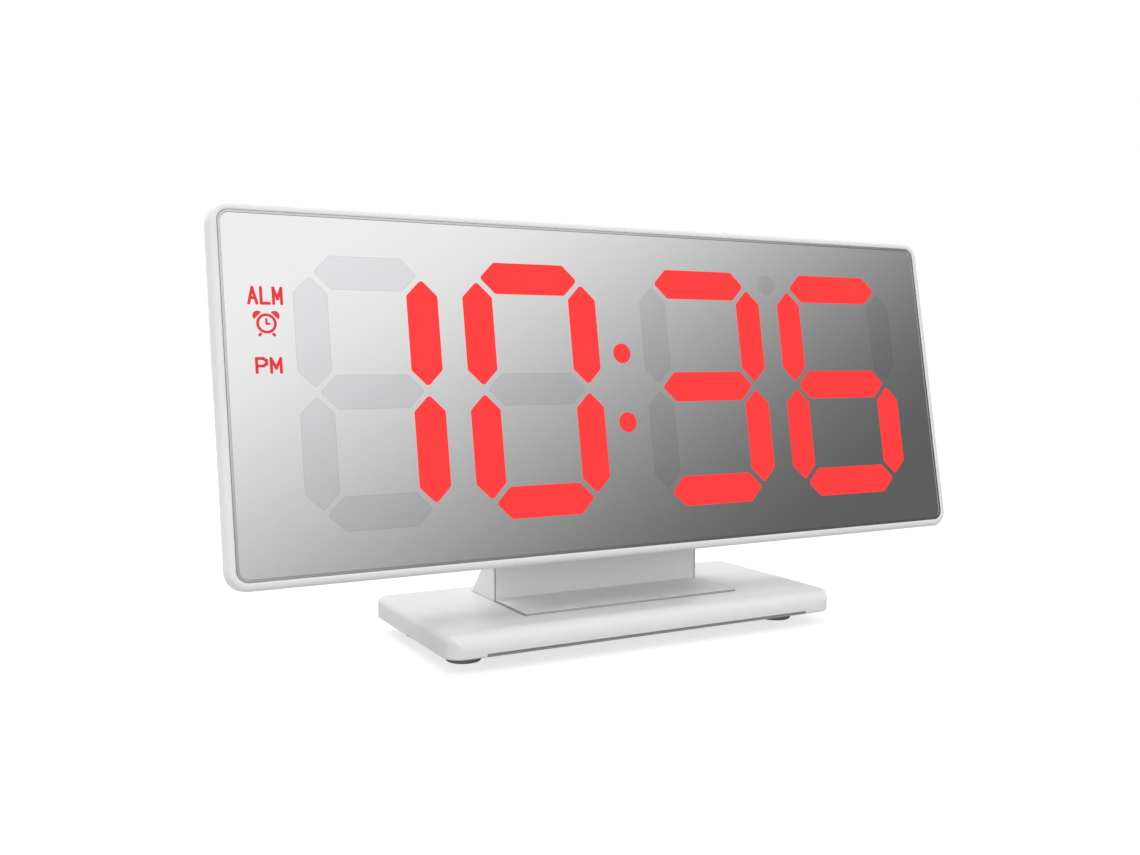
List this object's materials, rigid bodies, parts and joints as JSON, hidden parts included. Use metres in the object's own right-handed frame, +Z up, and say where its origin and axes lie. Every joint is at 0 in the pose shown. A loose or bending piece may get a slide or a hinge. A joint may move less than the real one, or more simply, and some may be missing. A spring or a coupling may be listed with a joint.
{
  "type": "digital desk clock",
  "caption": "Desk clock with a mirror face, lit red segment digits, a head that tilts on a flat stand, rear push buttons, a snooze bar and a turn cover over its memory cell",
  "frame": {"origin": "on the table under the middle of the outline box", "axes": "+X to the right seen from the front, +Y to the back, +Z up"},
  "size_m": [0.1964, 0.0494, 0.101],
  "materials": {
    "white_plastic": "smooth white",
    "mirror_face": "polished",
    "lit_red": "glowing red",
    "dark_window": "smoky grey",
    "grey_trim": "silver grey",
    "foot_rubber": "matt",
    "plate_grey": "fine grain",
    "cover_white": "fine grain",
    "button_grey": "satin",
    "box_white": "matt",
    "board_green": "solder mask",
    "diode_white": "clear",
    "black_plastic": "matt",
    "can_blue": "sleeve",
    "steel": "plated",
    "contact_brass": "plated"
  },
  "bodies": {
    "stand": {"base_shell": "white_plastic", "base_plate": "plate_grey", "base_screws": "steel", "rubber_feet": "foot_rubber", "neck": "white_plastic", "neck_trim": "grey_trim", "neck_screws": "steel", "hinge_pin": "steel", "friction_washers": "steel"},
    "head": {"front_frame": "white_plastic", "mirror_panel": "mirror_face", "lit_segments": "lit_red", "dark_segments": "dark_window", "colon_dots": "lit_red", "light_box": "box_white", "circuit_board": "board_green", "light_diodes": "diode_white", "rear_housing": "white_plastic", "housing_screws": "steel", "key_switches": "black_plastic", "snooze_switch": "black_plastic", "power_socket": "steel", "socket_tongue": "black_plastic", "buzzer": "black_plastic", "controller_chip": "black_plastic", "crystal": "steel", "capacitor": "can_blue", "memory_cell": "steel", "contact_under": "contact_brass", "contact_side": "contact_brass"},
    "key_mode": {"button_mode": "button_grey", "stem_mode": "black_plastic"},
    "key_alarm": {"button_alarm": "button_grey", "stem_alarm": "black_plastic"},
    "key_plus": {"button_plus": "button_grey", "stem_plus": "black_plastic"},
    "key_minus": {"button_minus": "button_grey", "stem_minus": "black_plastic"},
    "key_snooze": {"snooze_bar": "button_grey", "stem_snooze": "black_plastic"},
    "cover": {"cell_cover": "cover_white"}
  },
  "joints": [
    {"name": "head_tilt", "type": "hinge", "parent": "stand", "child": "head", "pos_m": [0, 0.0076, 0.0261], "axis": [-1, 0, 0], "range_deg": [-10, 15]},
    {"name": "mode_press", "type": "slide", "parent": "head", "child": "key_mode", "axis": [0, -0.9842, 0.1771], "range_m": [0, 0.0008], "stiffness_N_per_m": 600, "springref_m": -0.0005},
    {"name": "alarm_press", "type": "slide", "parent": "head", "child": "key_alarm", "axis": [0, -0.9842, 0.1771], "range_m": [0, 0.0008], "stiffness_N_per_m": 600, "springref_m": -0.0005},
    {"name": "plus_press", "type": "slide", "parent": "head", "child": "key_plus", "axis": [0, -0.9842, 0.1771], "range_m": [0, 0.0008], "stiffness_N_per_m": 600, "springref_m": -0.0005},
    {"name": "minus_press", "type": "slide", "parent": "head", "child": "key_minus", "axis": [0, -0.9842, 0.1771], "range_m": [0, 0.0008], "stiffness_N_per_m": 600, "springref_m": -0.0005},
    {"name": "snooze_press", "type": "slide", "parent": "head", "child": "key_snooze", "axis": [0, -0.1771, -0.9842], "range_m": [0, 0.0008], "stiffness_N_per_m": 800, "springref_m": -0.0005},
    {"name": "cover_turn", "type": "hinge", "parent": "head", "child": "cover", "pos_m": [0.052, 0.00958, 0.06164], "axis": [0, 0.9842, -0.1771], "range_deg": [0, 60]}
  ]
}
